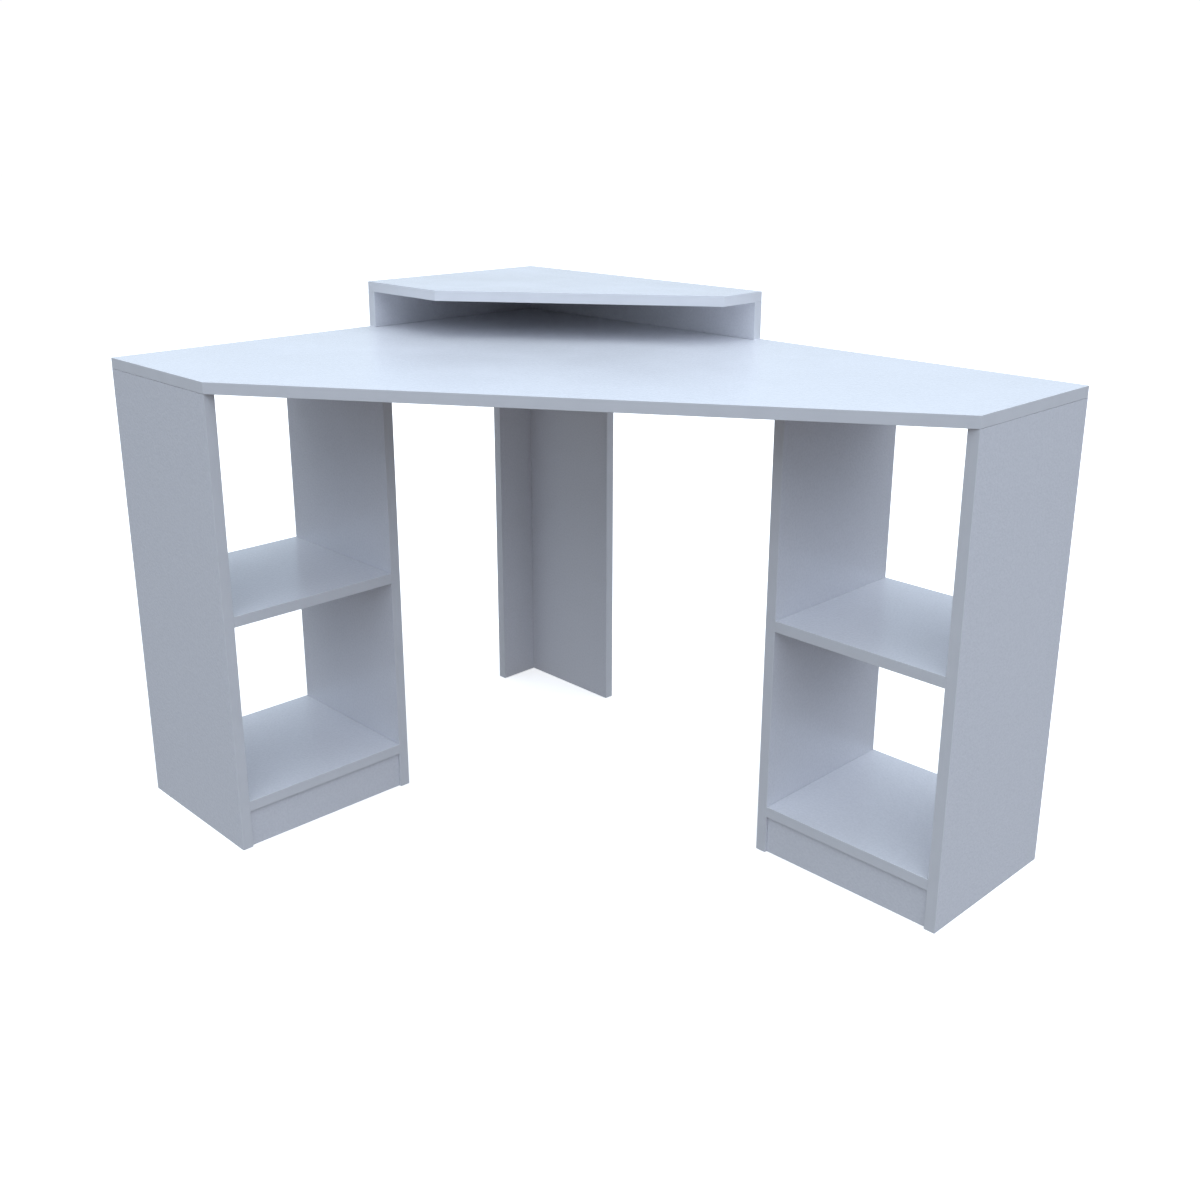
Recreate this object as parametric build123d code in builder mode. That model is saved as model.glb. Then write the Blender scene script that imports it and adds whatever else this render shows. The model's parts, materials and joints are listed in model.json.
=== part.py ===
from build123d import *
import os
from collections import namedtuple

# A flat-pack corner desk. The side wall is on the left (-X) and the back wall is behind (+Y).
# The origin is on the floor, under the middle of the desk's bounding box.

# Boards, in millimetres
board = 18  # thickness of every board
long_wing = 1200  # desktop along the back wall
short_wing = 900  # desktop along the side wall
wing_depth = 296  # how far each wing's end stands out from its wall
side_height = 750  # uprights, from the floor to the underside of the desktop
bay_width = 296  # clear width between the two sides of a pedestal
plinth_height = 64
plinth_setback = 5
lower_bay = 300  # clear height under the middle shelf

# Corner leg
leg_gap = 40  # from both walls, clear of skirting boards
leg_wide = 240
leg_narrow = 82

# Riser shelf in the corner of the desktop
riser_clear = 64
riser_long = 600
riser_short = 400
riser_long_end = 100
riser_short_end = 200

# Edge banding
band = 1
band_round = 0.6  # eased long edges
corner_round = 1.2  # where the banding is bent round a corner
hairline = 0.3  # open line along a joint, on both faces of the board that butts against it
hairline_depth = 3

# Fittings along each joint, in from its start: cam bolts, then dowels
pedestal_bolts = (50, wing_depth - 50)
pedestal_dowels = (wing_depth / 2,)
plinth_bolts = (22,)
plinth_dowels = (48,)
leg_wide_bolts = (50, leg_wide - 50)
leg_wide_dowels = (leg_wide / 2,)
leg_narrow_bolts = (27,)
leg_narrow_dowels = (60,)
leg_corner_bolts = (120, side_height - 120)
leg_corner_dowels = (240, side_height - 240)
riser_long_bolts = (80, riser_long - 80)
riser_long_dowels = (riser_long / 2,)
riser_short_bolts = (90, riser_short - 60)
riser_short_dowels = (215,)
rail_corner_bolts = (36,)
rail_corner_dowels = (16,)
long_rail_pegs = (50, riser_long - 50)
short_rail_pegs = (riser_short - 35,)
long_rail_screws = (160, riser_long - 160)
short_rail_screws = (150, 285)

# Cam lock, its bolt, and the bores for both
cam_radius = 7.5
cam_length = 12.5
cam_pocket = 13
cam_chamfer = 0.4
cam_reach = 34  # from the joint to the centre of the lock
recess_length = 10
recess_width = 1.8
recess_depth = 2.4
bolt_bore = 4
bolt_shaft = 3.4
bolt_shaft_length = 24
bolt_neck = 2
bolt_head_length = 4.5
bolt_thread = 2.5
bolt_thread_length = 11
thread_bore_depth = 12
slip = 0.05  # radial clearance between a fitting and its bore

# Cap over a cam lock
cap_radius = 9
cap_height = 1
cap_round = 0.6
cap_peg = 2
cap_peg_length = recess_length - 1
cap_peg_width = recess_width - 0.1

# Arrow cast in the lock's face, which points at the joint when the lock is open
arrow_radius = 1.1
arrow_reach = 5.9
arrow_depth = 0.4

# Dowel
dowel_radius = 4
dowel_length = 30
dowel_in_face = 11.5  # length of the dowel that sits in the face of a board
dowel_face_bore = 12
dowel_edge_bore = 19
dowel_chamfer = 0.8

# One-piece connecting screw, driven up through the desktop into a riser rail
screw_length = 50
screw_head = 5
screw_shank = 3.5
screw_core = 2.5
screw_tip = 3
screw_socket = 2.3
screw_socket_depth = 3
screw_bore_depth = screw_length - board + 1

# Derived heights
desktop_top = side_height + board
riser_bottom = desktop_top + riser_clear
bottom_shelf = plinth_height
middle_shelf = bottom_shelf + board + lower_bay

right = Vector(1, 0, 0)
left = Vector(-1, 0, 0)
back = Vector(0, 1, 0)
front = Vector(0, -1, 0)
up = Vector(0, 0, 1)
down = Vector(0, 0, -1)

# One fitting: a point of the joint at mid-thickness of the butted board, the way into that
# board, and the way its cam lock faces.
Fitting = namedtuple("Fitting", "at into out")
Joint = namedtuple("Joint", "bolts dowels")

os.makedirs("parts", exist_ok=True)


# A point by its distance from the two walls
def spot(from_side_wall, from_back_wall, height=0):
    return Vector(from_side_wall - long_wing / 2, short_wing / 2 - from_back_wall, height)


def save(piece, label):
    piece.part.label = label
    export_step(piece.part, f"parts/{label}.step")


# The plan of a board that fills a room corner: two straight backs, two ends, and a slanted front
def corner_plan(long, short, long_end, short_end):
    return [
        spot(0, 0),
        spot(long, 0),
        spot(long, long_end),
        spot(short_end, short),
        spot(0, short),
    ]


# ---- Joints between boards ----


def butt_joint(start, along, bolts, dowels, into, out):
    def row(distances):
        return [Fitting(start + along * distance, into, out) for distance in distances]

    return Joint(row(bolts), row(dowels))


# The cam lock lies flush with its board's face, and its local -X looks at the joint.
def cam_seat(fitting):
    centre = fitting.at + fitting.into * cam_reach + fitting.out * (board / 2)
    return Plane(origin=centre, x_dir=fitting.into, z_dir=fitting.out)


def face_plane(fitting):
    return Plane(origin=fitting.at, x_dir=fitting.out, z_dir=fitting.into)


def edge_plane(fitting):
    return Plane(origin=fitting.at, x_dir=fitting.out, z_dir=-fitting.into)


def drill(planes, radius, depth):
    for plane in planes:
        with Locations(plane):
            Hole(radius, depth)


# Bores in the board whose edge meets the joint
def drill_edge(joint):
    drill(map(cam_seat, joint.bolts), cam_radius, cam_pocket)
    drill(map(edge_plane, joint.bolts), bolt_bore, cam_reach)
    drill(map(edge_plane, joint.dowels), dowel_radius, dowel_edge_bore)


# Bores in the board whose face meets the joint
def drill_face(joint):
    drill(map(face_plane, joint.bolts), bolt_thread + slip, thread_bore_depth)
    drill(map(face_plane, joint.dowels), dowel_radius, dowel_face_bore)


# ---- Boards ----


def slab(centre, size, mode=Mode.ADD):
    with BuildSketch(Plane.XY.offset(centre.Z - size.Z / 2)) as plan:
        with Locations((centre.X, centre.Y)):
            Rectangle(size.X, size.Y)
    extrude(plan.sketch, amount=size.Z, mode=mode)


# Thin slots in both faces of a board, along its end that butts against another board
def cut_hairlines(centre, size, joint):
    fitting = (joint.bolts + joint.dowels)[0]
    into = Vector(*map(abs, fitting.into))
    out = Vector(*map(abs, fitting.out))
    slot = size - into * (size.dot(into) - hairline) - out * (size.dot(out) - hairline_depth)
    middle = centre - fitting.into * ((size.dot(into) - hairline) / 2)
    for face in (fitting.out, -fitting.out):
        spare = size.dot(out) - hairline_depth
        slab(middle + face * (spare / 2), slot, Mode.SUBTRACT)


# A rectangular board between two opposite corners. The banding on its visible edges is part
# of its size, so the chipboard is that much smaller.
def make_board(label, corner, opposite, banded, in_edge=(), in_face=(), screws=()):
    core_centre = (corner + opposite) * 0.5
    core_size = Vector(*map(abs, opposite - corner))
    strips = []
    for side in banded:
        axis = Vector(*map(abs, side))
        spare = core_size.dot(axis) - band
        strips.append((side, core_centre + side * (spare / 2), core_size - axis * spare))
        core_centre = core_centre - side * (band / 2)
        core_size = core_size - axis * band

    with BuildPart() as core:
        slab(core_centre, core_size)
        for joint in in_edge:
            cut_hairlines(core_centre, core_size, joint)
            drill_edge(joint)
        for joint in in_face:
            drill_face(joint)
        pilots = [Plane(origin=point + up * board, z_dir=down) for point in screws]
        drill(pilots, screw_core + slip, screw_bore_depth)
    save(core, label)

    if strips:
        with BuildPart() as edging:
            for side, centre, size in strips:
                slab(centre, size)
                outer_face = edging.faces().sort_by(Axis(centre, side))[-1]
                long_edges = outer_face.edges().filter_by(lambda edge: edge.length > board + 1)
                fillet(long_edges, band_round)
        save(edging, f"{label}_edging")


# A five-sided board with one strip of banding bent round its whole edge
def make_corner_board(label, plan, bottom, in_face, screws=()):
    with BuildSketch() as outer_plan:
        with BuildLine():
            Polyline(*plan, close=True)
        make_face()
    with BuildSketch() as core_plan:
        add(outer_plan.sketch)
        offset(amount=-band, kind=Kind.INTERSECTION, mode=Mode.REPLACE)

    with BuildPart() as core:
        with BuildSketch(Plane.XY.offset(bottom)):
            add(core_plan.sketch)
        extrude(amount=board)
        for joint in in_face:
            drill_face(joint)
        for point in screws:
            with Locations(Plane(origin=point, z_dir=down)):
                CounterSinkHole(screw_shank + slip, screw_head + slip, counter_sink_angle=90)
    save(core, label)

    with BuildPart() as edging:
        with BuildSketch(Plane.XY.offset(bottom)) as ring:
            add(outer_plan.sketch)
            fillet(ring.vertices(), corner_round)
            add(core_plan.sketch, mode=Mode.SUBTRACT)
        extrude(amount=board)
        rims = edging.faces().filter_by(Axis.Z).sort_by(Axis.Z)
        fillet(rims[0].outer_wire().edges() + rims[-1].outer_wire().edges(), band_round)
    save(edging, f"{label}_edging")


# ---- Fittings, each made once and then set in its places ----

# Cam lock: local Z = 0 is the board's face, and a channel lets in the head of the bolt
with BuildPart() as cam_lock:
    with BuildSketch():
        Circle(cam_radius - slip)
    extrude(amount=-cam_length)
    chamfer(cam_lock.faces().sort_by(Axis.Z)[-1].edges(), cam_chamfer)
    with BuildSketch():
        Rectangle(recess_length, recess_width)
        Rectangle(recess_width, recess_length)
    extrude(amount=-recess_depth, mode=Mode.SUBTRACT)
    with BuildSketch():
        with Locations((-arrow_reach, 0)):
            RegularPolygon(arrow_radius, 3, rotation=180)
    extrude(amount=-arrow_depth, mode=Mode.SUBTRACT)
    with BuildSketch(Plane(origin=(-cam_radius, 0, -board / 2), z_dir=(1, 0, 0))):
        Circle(bolt_bore)
    extrude(amount=cam_radius + bolt_bore, mode=Mode.SUBTRACT)

# Bolt: local Z = 0 is the joint, with the thread below it and the head above
with BuildPart() as cam_bolt:
    with BuildSketch(Plane.XZ) as bolt_profile:
        with BuildLine():
            Polyline(
                (0, -bolt_thread_length),
                (bolt_thread, -bolt_thread_length),
                (bolt_thread, 0),
                (bolt_shaft, 0),
                (bolt_shaft, bolt_shaft_length),
                (bolt_neck, bolt_shaft_length),
                (bolt_neck, cam_reach - bolt_head_length / 2),
                (bolt_shaft, cam_reach - bolt_head_length / 2),
                (bolt_shaft, cam_reach + bolt_head_length / 2),
                (0, cam_reach + bolt_head_length / 2),
                close=True,
            )
        make_face()
    revolve(axis=Axis.Z)
    tips = cam_bolt.edges().filter_by(GeomType.CIRCLE).sort_by(Axis.Z)
    chamfer((tips[0], tips[-1]), cam_chamfer)

# Dowel: local Z = 0 is the joint
with BuildPart() as dowel:
    with BuildSketch(Plane.XY.offset(-dowel_in_face)):
        Circle(dowel_radius - slip)
    extrude(amount=dowel_length)
    chamfer(dowel.edges().filter_by(GeomType.CIRCLE), dowel_chamfer)

# Cap: a shallow button on the board's face, with a peg in the lock's cross recess
with BuildPart() as cam_cap:
    with BuildSketch():
        Circle(cap_radius)
    extrude(amount=cap_height)
    fillet(cam_cap.faces().sort_by(Axis.Z)[-1].edges(), cap_round)
    with BuildSketch():
        Rectangle(cap_peg_length, cap_peg_width)
        Rectangle(cap_peg_width, cap_peg_length)
    extrude(amount=-cap_peg)

# Connecting screw: local Z = 0 is the underside of the desktop, and the tip points up
with BuildPart() as riser_screw:
    with BuildSketch(Plane.XZ):
        with BuildLine():
            Polyline(
                (0, 0),
                (screw_head, 0),
                (screw_shank, screw_head - screw_shank),
                (screw_shank, board),
                (screw_core, board),
                (screw_core, screw_length - screw_tip),
                (0, screw_length),
                close=True,
            )
        make_face()
    revolve(axis=Axis.Z)
    with BuildSketch():
        RegularPolygon(screw_socket, 6)
    extrude(amount=screw_socket_depth, mode=Mode.SUBTRACT)


# Identical fittings of one part of the desk share a node
def place(fitting_part, planes, label):
    with BuildPart() as group:
        with Locations(*planes):
            add(fitting_part.part)
    save(group, label)


def make_fittings(name, joints):
    bolts = [bolt for joint in joints for bolt in joint.bolts]
    dowels = [peg for joint in joints for peg in joint.dowels]
    place(cam_lock, map(cam_seat, bolts), f"{name}_cam_locks")
    place(cam_bolt, map(face_plane, bolts), f"{name}_cam_bolts")
    place(dowel, map(face_plane, dowels), f"{name}_dowels")


# ---- Pedestals ----


# A pedestal from the outer back corner of its footprint. It is open at the front and the back.
# The cam locks face the knee space, away from whoever stands in front of the desk.
def make_pedestal(name, corner, inward, outward):
    def at(across, out, height):
        return corner + inward * across + outward * out + up * height

    width = bay_width + 2 * board
    outer_face = board
    inner_face = width - board
    both_ends = (outward, -outward)

    outer_top = butt_joint(
        at(board / 2, 0, side_height), outward, pedestal_bolts, pedestal_dowels, down, inward
    )
    inner_top = butt_joint(
        at(width - board / 2, 0, side_height), outward, pedestal_bolts, pedestal_dowels, down, inward
    )
    to_outer = []
    to_inner = []

    # Both shelves: cam locks in the underside
    for label, bottom in (("bottom_shelf", bottom_shelf), ("middle_shelf", middle_shelf)):
        mid = bottom + board / 2
        ends = (
            butt_joint(at(outer_face, 0, mid), outward, pedestal_bolts, pedestal_dowels, inward, down),
            butt_joint(at(inner_face, 0, mid), outward, pedestal_bolts, pedestal_dowels, -inward, down),
        )
        make_board(
            f"{name}_{label}",
            at(outer_face, 0, bottom),
            at(inner_face, wing_depth, bottom + board),
            both_ends,
            in_edge=ends,
        )
        to_outer.append(ends[0])
        to_inner.append(ends[1])

    # Plinth under the front of the bottom shelf, a hairline clear of it: cam locks in its back
    plinth_front = wing_depth - plinth_setback
    plinth_mid = plinth_front - board / 2
    plinth_ends = (
        butt_joint(at(outer_face, plinth_mid, 0), up, plinth_bolts, plinth_dowels, inward, -outward),
        butt_joint(at(inner_face, plinth_mid, 0), up, plinth_bolts, plinth_dowels, -inward, -outward),
    )
    make_board(
        f"{name}_plinth",
        at(outer_face, plinth_front - board, 0),
        at(inner_face, plinth_front, plinth_height - hairline),
        (),
        in_edge=plinth_ends,
    )
    to_outer.append(plinth_ends[0])
    to_inner.append(plinth_ends[1])

    make_board(
        f"{name}_outer_side",
        at(0, 0, 0),
        at(outer_face, wing_depth, side_height),
        both_ends,
        in_edge=(outer_top,),
        in_face=to_outer,
    )
    make_board(
        f"{name}_inner_side",
        at(inner_face, 0, 0),
        at(width, wing_depth, side_height),
        both_ends,
        in_edge=(inner_top,),
        in_face=to_inner,
    )

    tops = (outer_top, inner_top)
    make_fittings(name, (*tops, *to_outer, *to_inner))
    seats = [cam_seat(bolt) for joint in tops for bolt in joint.bolts]
    place(cam_cap, seats, f"{name}_cam_caps")
    return tops


left_tops = make_pedestal("left_pedestal", spot(0, short_wing), back, right)
right_tops = make_pedestal("right_pedestal", spot(long_wing, 0), left, front)


# ---- Corner leg: two boards in an L, with the cam locks on their wall sides ----

leg_mid = leg_gap + board / 2
narrow_start = leg_gap + board
narrow_end = narrow_start + leg_narrow

wide_top = butt_joint(
    spot(leg_gap, leg_mid, side_height), right, leg_wide_bolts, leg_wide_dowels, down, back
)
narrow_top = butt_joint(
    spot(leg_mid, narrow_start, side_height), front, leg_narrow_bolts, leg_narrow_dowels, down, left
)
leg_corner = butt_joint(
    spot(leg_mid, narrow_start), up, leg_corner_bolts, leg_corner_dowels, front, left
)
make_board(
    "corner_leg_wide",
    spot(leg_gap, leg_gap),
    spot(leg_gap + leg_wide, narrow_start, side_height),
    (left, right),
    in_edge=(wide_top,),
    in_face=(leg_corner,),
)
make_board(
    "corner_leg_narrow",
    spot(leg_gap, narrow_start),
    spot(narrow_start, narrow_end, side_height),
    (front,),
    in_edge=(narrow_top, leg_corner),
)
make_fittings("corner_leg", (wide_top, narrow_top, leg_corner))


# ---- Riser: a back rail, a side rail and a corner shelf, fixed to the top of the desktop ----

rail_mid = board / 2
back_rail_top = butt_joint(
    spot(0, rail_mid, riser_bottom), right, riser_long_bolts, riser_long_dowels, down, back
)
side_rail_top = butt_joint(
    spot(rail_mid, 0, riser_bottom), front, riser_short_bolts, riser_short_dowels, down, left
)
rail_corner = butt_joint(
    spot(rail_mid, board, desktop_top), up, rail_corner_bolts, rail_corner_dowels, front, left
)
# Dowels only, between the rails and the desktop
back_rail_foot = butt_joint(
    spot(0, rail_mid, desktop_top), right, (), long_rail_pegs, up, back
)
side_rail_foot = butt_joint(
    spot(rail_mid, 0, desktop_top), front, (), short_rail_pegs, up, left
)
back_rail_screws = [spot(distance, rail_mid, side_height) for distance in long_rail_screws]
side_rail_screws = [spot(rail_mid, distance, side_height) for distance in short_rail_screws]

make_board(
    "riser_back_rail",
    spot(0, 0, desktop_top),
    spot(riser_long, board, riser_bottom),
    (right,),
    in_edge=(back_rail_top, back_rail_foot),
    in_face=(rail_corner,),
    screws=back_rail_screws,
)
make_board(
    "riser_side_rail",
    spot(0, board, desktop_top),
    spot(board, riser_short, riser_bottom),
    (front,),
    in_edge=(side_rail_top, side_rail_foot, rail_corner),
    screws=side_rail_screws,
)
riser_plan = corner_plan(riser_long, riser_short, riser_long_end, riser_short_end)
make_corner_board(
    "riser_shelf", riser_plan, riser_bottom, in_face=(back_rail_top, side_rail_top)
)
make_fittings(
    "riser", (back_rail_top, side_rail_top, rail_corner, back_rail_foot, side_rail_foot)
)
riser_screws = back_rail_screws + side_rail_screws
place(riser_screw, [Plane(origin=point) for point in riser_screws], "riser_screws")


# ---- Desktop ----

desktop_plan = corner_plan(long_wing, short_wing, wing_depth, wing_depth)
make_corner_board(
    "desktop",
    desktop_plan,
    side_height,
    in_face=(*left_tops, *right_tops, wide_top, narrow_top, back_rail_foot, side_rail_foot),
    screws=riser_screws,
)
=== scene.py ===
import json
import math

import bmesh
import bpy
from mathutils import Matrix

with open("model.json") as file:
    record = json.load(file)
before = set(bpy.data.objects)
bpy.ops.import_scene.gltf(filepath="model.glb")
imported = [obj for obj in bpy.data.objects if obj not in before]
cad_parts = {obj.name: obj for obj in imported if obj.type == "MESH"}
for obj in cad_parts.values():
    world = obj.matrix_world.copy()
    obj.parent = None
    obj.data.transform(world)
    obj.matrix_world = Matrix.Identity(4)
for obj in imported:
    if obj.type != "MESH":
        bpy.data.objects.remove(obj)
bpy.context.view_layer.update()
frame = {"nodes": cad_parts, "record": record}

nodes = frame["nodes"]
scene = bpy.context.scene
noiseSpan = (0.3, 0.7)  # most of a noise texture's values lie between these
print("frame loaded:", len(nodes), "pieces of the desk")


# sRGB hex to the linear colour that a shader takes
def colour(hexCode):
    parts = [int(hexCode[i:i + 2], 16) / 255 for i in (1, 3, 5)]
    linear = [p / 12.92 if p <= 0.04045 else ((p + 0.055) / 1.055) ** 2.4 for p in parts]
    return (*linear, 1.0)


# Adds a node with its settings, and sets or links its inputs
def addNode(tree, kind, inputs=None, **settings):
    node = tree.nodes.new(kind)
    for name, value in settings.items():
        setattr(node, name, value)
    for name, value in (inputs or {}).items():
        if isinstance(value, bpy.types.NodeSocket):
            tree.links.new(value, node.inputs[name])
        else:
            node.inputs[name].default_value = value
    return node


def newMaterial(name):
    material = bpy.data.materials.new(name)
    material.use_nodes = True
    material.node_tree.nodes.clear()
    return material, material.node_tree


melamine = {
    "name": "whiteMelamine",
    "tones": ("#DDDDE2", "#EDEDF1"),
    "rough": (0.17, 0.24),
    "ior": 1.5,
    "pearlMm": 3.5,  # the pressed grain is nearer 1 mm, drawn coarser so that it shows
    "pearlHeightMm": 0.4,
    "chipMm": 14,
    "chipHeightMm": 0.02,
    "handMm": 160,
    "rawTones": ("#7A5A38", "#C09A68"),
    "flakeMm": 2.6,
    "facing": -0.5,  # a face turned more than this way down, or to the side wall, can be raw
    "floorEdge": 0.001,
    "wallEnd": (-0.5995, 0.4325),  # the end of the riser's back rail is beyond this, in x and y
}


# White melamine paper pressed on chipboard: a satin face with a fine pearl that breaks up
# reflections, and raw brown chips on the edges that no banding covers
def makeMelamine(look):
    material, tree = newMaterial(look["name"])
    coords = addNode(tree, "ShaderNodeTexCoord")
    place = coords.outputs["Object"]
    pearl = addNode(tree, "ShaderNodeTexNoise", {
        "Vector": place, "Scale": 1000 / look["pearlMm"], "Detail": 2.0})
    paper = addNode(tree, "ShaderNodeMix", {
        "Factor": pearl.outputs["Fac"], "A": colour(look["tones"][0]),
        "B": colour(look["tones"][1])}, data_type="RGBA")
    # Raw board, seen under the edges on the floor and at the wall end of the riser's back rail
    flakes = addNode(tree, "ShaderNodeTexVoronoi", {
        "Vector": place, "Scale": 1000 / look["flakeMm"]})
    raw = addNode(tree, "ShaderNodeMix", {
        "Factor": flakes.outputs["Color"], "A": colour(look["rawTones"][0]),
        "B": colour(look["rawTones"][1])}, data_type="RGBA")
    at = addNode(tree, "ShaderNodeSeparateXYZ", {"Vector": place})
    facing = addNode(tree, "ShaderNodeSeparateXYZ", {"Vector": coords.outputs["Normal"]})
    onFloor = addNode(tree, "ShaderNodeMath", {
        0: at.outputs["Z"], 1: look["floorEdge"]}, operation="LESS_THAN")
    facesDown = addNode(tree, "ShaderNodeMath", {
        0: facing.outputs["Z"], 1: look["facing"]}, operation="LESS_THAN")
    underside = addNode(tree, "ShaderNodeMath", {
        0: onFloor.outputs["Value"], 1: facesDown.outputs["Value"]}, operation="MULTIPLY")
    wallX, wallY = look["wallEnd"]
    atWall = addNode(tree, "ShaderNodeMath", {0: at.outputs["X"], 1: wallX}, operation="LESS_THAN")
    facesWall = addNode(tree, "ShaderNodeMath", {
        0: facing.outputs["X"], 1: look["facing"]}, operation="LESS_THAN")
    atBack = addNode(tree, "ShaderNodeMath", {0: at.outputs["Y"], 1: wallY}, operation="GREATER_THAN")
    wallFace = addNode(tree, "ShaderNodeMath", {
        0: atWall.outputs["Value"], 1: facesWall.outputs["Value"]}, operation="MULTIPLY")
    railEnd = addNode(tree, "ShaderNodeMath", {
        0: wallFace.outputs["Value"], 1: atBack.outputs["Value"]}, operation="MULTIPLY")
    isRaw = addNode(tree, "ShaderNodeMath", {
        0: underside.outputs["Value"], 1: railEnd.outputs["Value"]}, operation="MAXIMUM")
    paint = addNode(tree, "ShaderNodeMix", {
        "Factor": isRaw.outputs["Value"], "A": paper.outputs["Result"],
        "B": raw.outputs["Result"]}, data_type="RGBA")
    # Sheen that wanders a little where hands and cloths have been
    hand = addNode(tree, "ShaderNodeTexNoise", {
        "Vector": place, "Scale": 1000 / look["handMm"], "Detail": 3.0})
    sheen = addNode(tree, "ShaderNodeMapRange", {
        "Value": hand.outputs["Fac"], "From Min": noiseSpan[0], "From Max": noiseSpan[1],
        "To Min": look["rough"][0], "To Max": look["rough"][1]})
    # The chips of the board telegraph through the paper, under the pearl
    chips = addNode(tree, "ShaderNodeTexNoise", {
        "Vector": place, "Scale": 1000 / look["chipMm"], "Detail": 3.0})
    waves = addNode(tree, "ShaderNodeBump", {
        "Height": chips.outputs["Fac"], "Strength": 1.0, "Distance": look["chipHeightMm"] / 1000})
    relief = addNode(tree, "ShaderNodeBump", {
        "Height": pearl.outputs["Fac"], "Strength": 1.0, "Distance": look["pearlHeightMm"] / 1000,
        "Normal": waves.outputs["Normal"]})
    shader = addNode(tree, "ShaderNodeBsdfPrincipled", {
        "Base Color": paint.outputs["Result"], "Roughness": sheen.outputs["Result"],
        "IOR": look["ior"], "Normal": relief.outputs["Normal"]})
    addNode(tree, "ShaderNodeOutputMaterial", {"Surface": shader.outputs["BSDF"]})
    return material


edging = {
    "name": "whiteAbsEdging",
    "tones": ("#DFDFE2", "#E6E6E9"),
    "rough": (0.30, 0.38),
    "ior": 1.53,
    "grainMm": 1.6,  # extruder grain is nearer 0.5 mm, drawn coarser so that it shows
    "grainHeightMm": 0.02,
    "trimMm": 38,
    "trimHeightMm": 0.03,
}


# Extruded ABS strip glued to a board's edge: a little darker and duller than the faces,
# with the long ripple that the trimming cutter leaves
def makeEdging(look):
    material, tree = newMaterial(look["name"])
    place = addNode(tree, "ShaderNodeTexCoord").outputs["Object"]
    trim = addNode(tree, "ShaderNodeTexNoise", {
        "Vector": place, "Scale": 1000 / look["trimMm"], "Detail": 1.0})
    grain = addNode(tree, "ShaderNodeTexNoise", {
        "Vector": place, "Scale": 1000 / look["grainMm"], "Detail": 2.0})
    paint = addNode(tree, "ShaderNodeMix", {
        "Factor": trim.outputs["Fac"], "A": colour(look["tones"][0]),
        "B": colour(look["tones"][1])}, data_type="RGBA")
    sheen = addNode(tree, "ShaderNodeMapRange", {
        "Value": trim.outputs["Fac"], "From Min": noiseSpan[0], "From Max": noiseSpan[1],
        "To Min": look["rough"][0], "To Max": look["rough"][1]})
    ripple = addNode(tree, "ShaderNodeBump", {
        "Height": trim.outputs["Fac"], "Strength": 1.0, "Distance": look["trimHeightMm"] / 1000})
    relief = addNode(tree, "ShaderNodeBump", {
        "Height": grain.outputs["Fac"], "Strength": 1.0, "Distance": look["grainHeightMm"] / 1000,
        "Normal": ripple.outputs["Normal"]})
    shader = addNode(tree, "ShaderNodeBsdfPrincipled", {
        "Base Color": paint.outputs["Result"], "Roughness": sheen.outputs["Result"],
        "IOR": look["ior"], "Normal": relief.outputs["Normal"]})
    addNode(tree, "ShaderNodeOutputMaterial", {"Surface": shader.outputs["BSDF"]})
    return material


casting = {
    "name": "dieCastZinc",
    "tones": ("#94969A", "#BCBEC1"),
    "rough": (0.38, 0.55),
    "skinMm": 1.4,
    "skinHeightMm": 0.03,
    "pitMm": 0.5,
    "pitHeightMm": 0.01,
}


# Die-cast zinc, as it comes from the mould: grey and softly mottled, with a fine frosted skin
def makeCasting(look):
    material, tree = newMaterial(look["name"])
    place = addNode(tree, "ShaderNodeTexCoord").outputs["Object"]
    skin = addNode(tree, "ShaderNodeTexNoise", {
        "Vector": place, "Scale": 1000 / look["skinMm"], "Detail": 3.0})
    pits = addNode(tree, "ShaderNodeTexNoise", {
        "Vector": place, "Scale": 1000 / look["pitMm"], "Detail": 2.0})
    paint = addNode(tree, "ShaderNodeMix", {
        "Factor": skin.outputs["Fac"], "A": colour(look["tones"][0]),
        "B": colour(look["tones"][1])}, data_type="RGBA")
    sheen = addNode(tree, "ShaderNodeMapRange", {
        "Value": skin.outputs["Fac"], "From Min": noiseSpan[0], "From Max": noiseSpan[1],
        "To Min": look["rough"][0], "To Max": look["rough"][1]})
    frost = addNode(tree, "ShaderNodeBump", {
        "Height": skin.outputs["Fac"], "Strength": 1.0, "Distance": look["skinHeightMm"] / 1000})
    relief = addNode(tree, "ShaderNodeBump", {
        "Height": pits.outputs["Fac"], "Strength": 1.0, "Distance": look["pitHeightMm"] / 1000,
        "Normal": frost.outputs["Normal"]})
    shader = addNode(tree, "ShaderNodeBsdfPrincipled", {
        "Base Color": paint.outputs["Result"], "Roughness": sheen.outputs["Result"],
        "Metallic": 1.0, "Normal": relief.outputs["Normal"]})
    addNode(tree, "ShaderNodeOutputMaterial", {"Surface": shader.outputs["BSDF"]})
    return material


plating = {
    "name": "zincPlatedSteel",
    "tones": ("#B4BAC4", "#D2D4D2"),
    "rough": (0.29, 0.38),
    "turnMm": 0.7,
    "turnHeightMm": 0.015,
    "hazeMm": 4,
}


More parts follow.
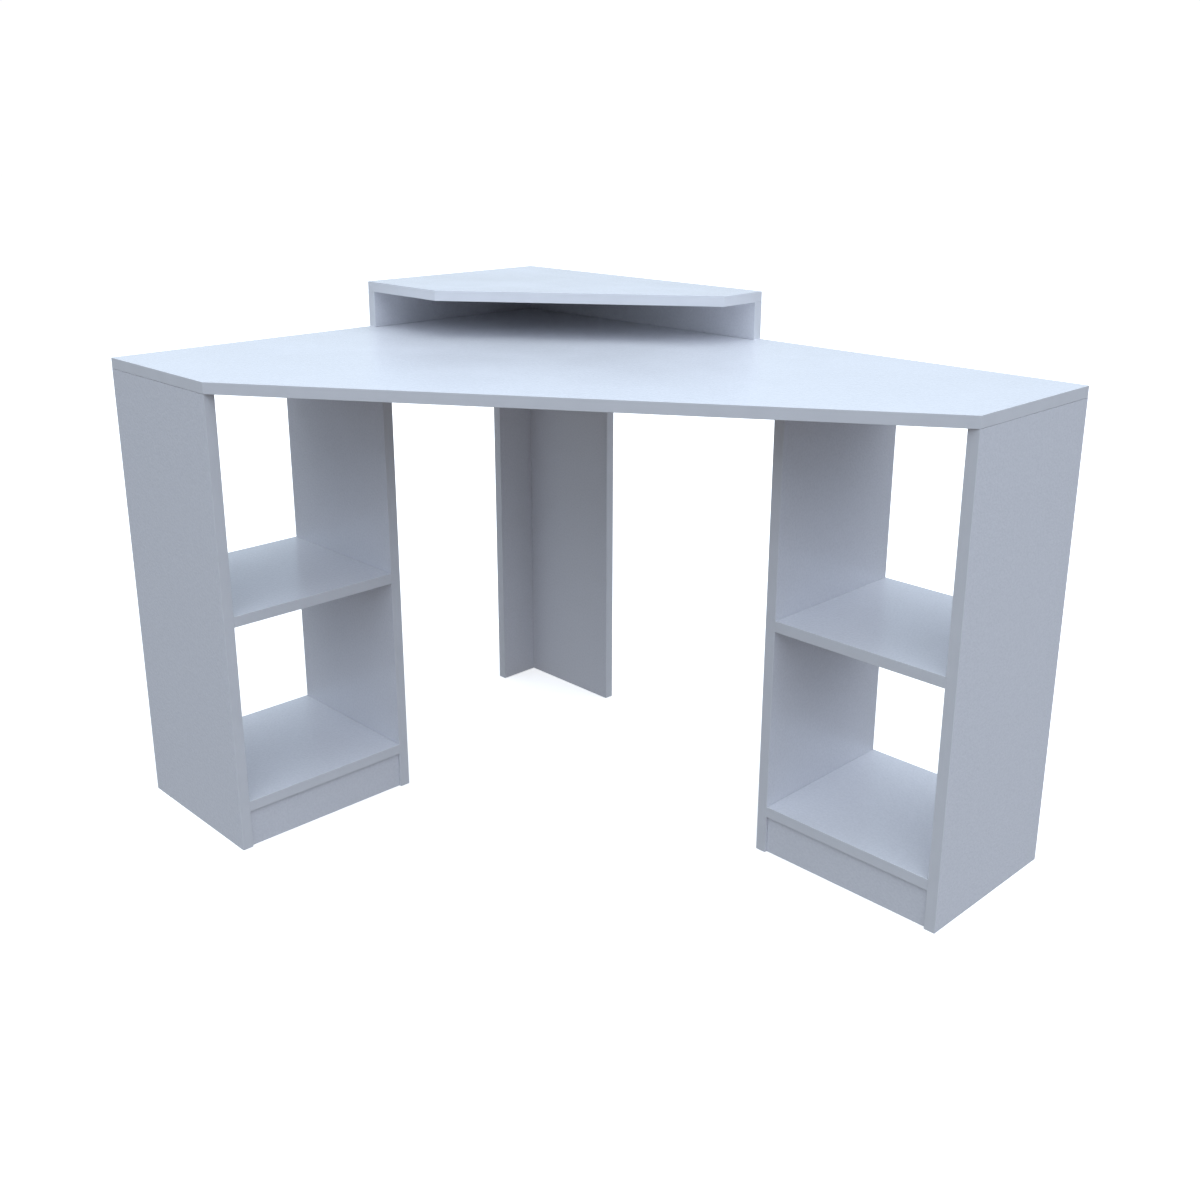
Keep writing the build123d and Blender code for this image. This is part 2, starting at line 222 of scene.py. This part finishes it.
# Zinc plating on turned steel: cool and bright, with faint tool rings and a haze
def makePlating(look):
    material, tree = newMaterial(look["name"])
    place = addNode(tree, "ShaderNodeTexCoord").outputs["Object"]
    haze = addNode(tree, "ShaderNodeTexNoise", {
        "Vector": place, "Scale": 1000 / look["hazeMm"], "Detail": 3.0})
    # At a scale of 1, a wave texture has 20 / tau bands in a metre
    rings = addNode(tree, "ShaderNodeTexWave", {
        "Vector": place, "Scale": 1000 / look["turnMm"] * math.tau / 20, "Distortion": 0.4},
        bands_direction="Z")
    paint = addNode(tree, "ShaderNodeMix", {
        "Factor": haze.outputs["Fac"], "A": colour(look["tones"][0]),
        "B": colour(look["tones"][1])}, data_type="RGBA")
    sheen = addNode(tree, "ShaderNodeMapRange", {
        "Value": haze.outputs["Fac"], "From Min": noiseSpan[0], "From Max": noiseSpan[1],
        "To Min": look["rough"][0], "To Max": look["rough"][1]})
    relief = addNode(tree, "ShaderNodeBump", {
        "Height": rings.outputs["Fac"], "Strength": 1.0, "Distance": look["turnHeightMm"] / 1000})
    shader = addNode(tree, "ShaderNodeBsdfPrincipled", {
        "Base Color": paint.outputs["Result"], "Roughness": sheen.outputs["Result"],
        "Metallic": 1.0, "Normal": relief.outputs["Normal"]})
    addNode(tree, "ShaderNodeOutputMaterial", {"Surface": shader.outputs["BSDF"]})
    return material


beech = {
    "name": "turnedBeech",
    "tones": ("#C79F74", "#DDBB90"),
    "fleckTone": "#A67B52",
    "rough": (0.5, 0.65),
    "ior": 1.5,
    "stretch": (1, 1, 0.15),
    "grainMm": 0.6,
    "grainHeightMm": 0.04,
    "fleckMm": 1.1,
    "fleckShare": 0.22,
}


# Raw turned beech: pale pinkish brown, with short dark flecks along the grain
def makeBeech(look):
    material, tree = newMaterial(look["name"])
    coords = addNode(tree, "ShaderNodeTexCoord")
    along = addNode(tree, "ShaderNodeMapping", {
        "Vector": coords.outputs["Object"], "Scale": look["stretch"]})
    grain = addNode(tree, "ShaderNodeTexNoise", {
        "Vector": along.outputs["Vector"], "Scale": 1000 / look["grainMm"], "Detail": 3.0})
    flecks = addNode(tree, "ShaderNodeTexVoronoi", {
        "Vector": along.outputs["Vector"], "Scale": 1000 / look["fleckMm"]})
    isFleck = addNode(tree, "ShaderNodeMath", {
        0: flecks.outputs["Distance"], 1: look["fleckShare"]}, operation="LESS_THAN")
    wood = addNode(tree, "ShaderNodeMix", {
        "Factor": grain.outputs["Fac"], "A": colour(look["tones"][0]),
        "B": colour(look["tones"][1])}, data_type="RGBA")
    paint = addNode(tree, "ShaderNodeMix", {
        "Factor": isFleck.outputs["Value"], "A": wood.outputs["Result"],
        "B": colour(look["fleckTone"])}, data_type="RGBA")
    sheen = addNode(tree, "ShaderNodeMapRange", {
        "Value": grain.outputs["Fac"], "From Min": noiseSpan[0], "From Max": noiseSpan[1],
        "To Min": look["rough"][0], "To Max": look["rough"][1]})
    relief = addNode(tree, "ShaderNodeBump", {
        "Height": grain.outputs["Fac"], "Strength": 1.0, "Distance": look["grainHeightMm"] / 1000})
    shader = addNode(tree, "ShaderNodeBsdfPrincipled", {
        "Base Color": paint.outputs["Result"], "Roughness": sheen.outputs["Result"],
        "IOR": look["ior"], "Normal": relief.outputs["Normal"]})
    addNode(tree, "ShaderNodeOutputMaterial", {"Surface": shader.outputs["BSDF"]})
    return material


capPlastic = {
    "name": "mouldedPolypropylene",
    "tones": ("#E2E2E1", "#ECECEA"),
    "rough": (0.36, 0.46),
    "ior": 1.49,
    "sparkMm": 0.8,
    "sparkHeightMm": 0.02,
    "flowMm": 7,
}


# Moulded white polypropylene: waxy and even, with the fine spark grain of its mould
def makeCapPlastic(look):
    material, tree = newMaterial(look["name"])
    place = addNode(tree, "ShaderNodeTexCoord").outputs["Object"]
    spark = addNode(tree, "ShaderNodeTexNoise", {
        "Vector": place, "Scale": 1000 / look["sparkMm"], "Detail": 2.0})
    flow = addNode(tree, "ShaderNodeTexNoise", {
        "Vector": place, "Scale": 1000 / look["flowMm"], "Detail": 1.0})
    paint = addNode(tree, "ShaderNodeMix", {
        "Factor": flow.outputs["Fac"], "A": colour(look["tones"][0]),
        "B": colour(look["tones"][1])}, data_type="RGBA")
    sheen = addNode(tree, "ShaderNodeMapRange", {
        "Value": flow.outputs["Fac"], "From Min": noiseSpan[0], "From Max": noiseSpan[1],
        "To Min": look["rough"][0], "To Max": look["rough"][1]})
    relief = addNode(tree, "ShaderNodeBump", {
        "Height": spark.outputs["Fac"], "Strength": 1.0, "Distance": look["sparkHeightMm"] / 1000})
    shader = addNode(tree, "ShaderNodeBsdfPrincipled", {
        "Base Color": paint.outputs["Result"], "Roughness": sheen.outputs["Result"],
        "IOR": look["ior"], "Normal": relief.outputs["Normal"]})
    addNode(tree, "ShaderNodeOutputMaterial", {"Surface": shader.outputs["BSDF"]})
    return material


camera = {
    "place": (1.4418, -1.3563, 1.1217),
    "turn": (72.506, 0.0, 46.005),
    "lens": 39.49,
    "sensor": 36.0,
    "shift": (0.0089, -0.0495),
}


def makeCamera(look):
    lens = bpy.data.cameras.new("camera")
    lens.sensor_width = look["sensor"]
    lens.lens = look["lens"]
    lens.shift_x, lens.shift_y = look["shift"]
    lens.clip_end = 200
    body = bpy.data.objects.new("camera", lens)
    body.location = look["place"]
    body.rotation_euler = [math.radians(angle) for angle in look["turn"]]
    scene.collection.objects.link(body)
    scene.camera = body


studio = {
    # Colours of the dome in linear light, from the ground up, with the heights between which
    # they hold: 0.5 is the horizon and 1 is straight up
    "ground": (0.092, 0.092, 0.096),
    "frontLow": (0.020, 0.022, 0.025),
    "frontMiddle": (0.246, 0.285, 0.338),
    "frontHigh": (0.735, 0.820, 0.960),
    "backLow": (0.200, 0.214, 0.212),
    "backMiddle": (0.300, 0.360, 0.430),
    "backHigh": (0.105, 0.126, 0.146),
    "top": (0.655, 0.730, 0.800),
    "heights": (0.49, 0.51, 0.56, 0.58, 0.69, 0.73, 0.85, 0.92),
    "strength": 2.2,
    "front": (1.0, -0.07),  # the way to the front of the dome, in x and y
    "blend": 0.8,  # how far to each side the front and back colours run into each other
    "backdrop": 1.02,
}


# A soft dome of light, whose front is on the right of the desk, and brighter than its back
def makeStudio(look):
    world = bpy.data.worlds.new("studio")
    world.use_nodes = True
    tree = world.node_tree
    tree.nodes.clear()
    way = addNode(tree, "ShaderNodeTexCoord").outputs["Generated"]
    axes = addNode(tree, "ShaderNodeSeparateXYZ", {"Vector": way})
    level = addNode(tree, "ShaderNodeMapRange", {
        "Value": axes.outputs["Z"], "From Min": -1.0, "From Max": 1.0})
    sides = []
    for side in ("back", "front"):
        low, middle, high = look[side + "Low"], look[side + "Middle"], look[side + "High"]
        tints = (look["ground"], low, low, middle, middle, high, high, look["top"])
        dome = addNode(tree, "ShaderNodeValToRGB", {"Fac": level.outputs["Result"]})
        stops = dome.color_ramp.elements
        for height in look["heights"][1:-1]:
            stops.new(height)
        for stop, height, tint in zip(stops, look["heights"], tints):
            stop.position = height
            stop.color = (*tint, 1)
        sides.append(dome.outputs["Color"])
    toFront = addNode(tree, "ShaderNodeVectorMath", {
        0: way, 1: (*look["front"], 0.0)}, operation="DOT_PRODUCT")
    share = addNode(tree, "ShaderNodeMapRange", {
        "Value": toFront.outputs["Value"], "From Min": -look["blend"], "From Max": look["blend"]})
    sky = addNode(tree, "ShaderNodeMix", {
        "Factor": share.outputs["Result"], "A": sides[0], "B": sides[1]}, data_type="RGBA")
    light = addNode(tree, "ShaderNodeBackground", {
        "Color": sky.outputs["Result"], "Strength": look["strength"]})
    # What is behind the desk is plain white
    backdrop = addNode(tree, "ShaderNodeBackground", {
        "Color": (1, 1, 1, 1), "Strength": look["backdrop"]})
    rays = addNode(tree, "ShaderNodeLightPath")
    seen = addNode(tree, "ShaderNodeMixShader", {
        "Fac": rays.outputs["Is Camera Ray"], 1: light.outputs["Background"],
        2: backdrop.outputs["Background"]})
    addNode(tree, "ShaderNodeOutputWorld", {"Surface": seen.outputs["Shader"]})
    scene.world = world


floorLook = {
    "name": "paleFloor",
    "tone": "#F4F4F2",
    "rough": 0.9,
    "glow": 0.62,
    "size": 60.0,
}


# A plain pale floor, lit evenly to its edge
def makeFloor(look):
    material, tree = newMaterial(look["name"])
    shader = addNode(tree, "ShaderNodeBsdfPrincipled", {
        "Base Color": colour(look["tone"]), "Roughness": look["rough"],
        "Emission Color": (1, 1, 1, 1), "Emission Strength": look["glow"]})
    addNode(tree, "ShaderNodeOutputMaterial", {"Surface": shader.outputs["BSDF"]})
    shape = bmesh.new()
    bmesh.ops.create_grid(shape, x_segments=1, y_segments=1, size=look["size"] / 2)
    mesh = bpy.data.meshes.new("floor")
    shape.to_mesh(mesh)
    shape.free()
    mesh.materials.append(material)
    floor = bpy.data.objects.new("floor", mesh)
    scene.collection.objects.link(floor)
    floor.visible_diffuse = False
    floor.visible_glossy = False


makeCamera(camera)
print("camera placed")
makeStudio(studio)
makeFloor(floorLook)
print("light and floor made")

finishes = {
    "melamine_board": makeMelamine(melamine),
    "edge_banding": makeEdging(edging),
    "zinc_casting": makeCasting(casting),
    "zinc_plated_steel": makePlating(plating),
    "beech": makeBeech(beech),
    "cap_plastic": makeCapPlastic(capPlastic),
}
for piece in frame["record"]["subparts"]:
    mesh = nodes[piece["node"]].data
    mesh.materials.clear()
    mesh.materials.append(finishes[piece["material_slot"]])
print("materials:", len(finishes))

scene.view_settings.view_transform = "Standard"  # whites stay white
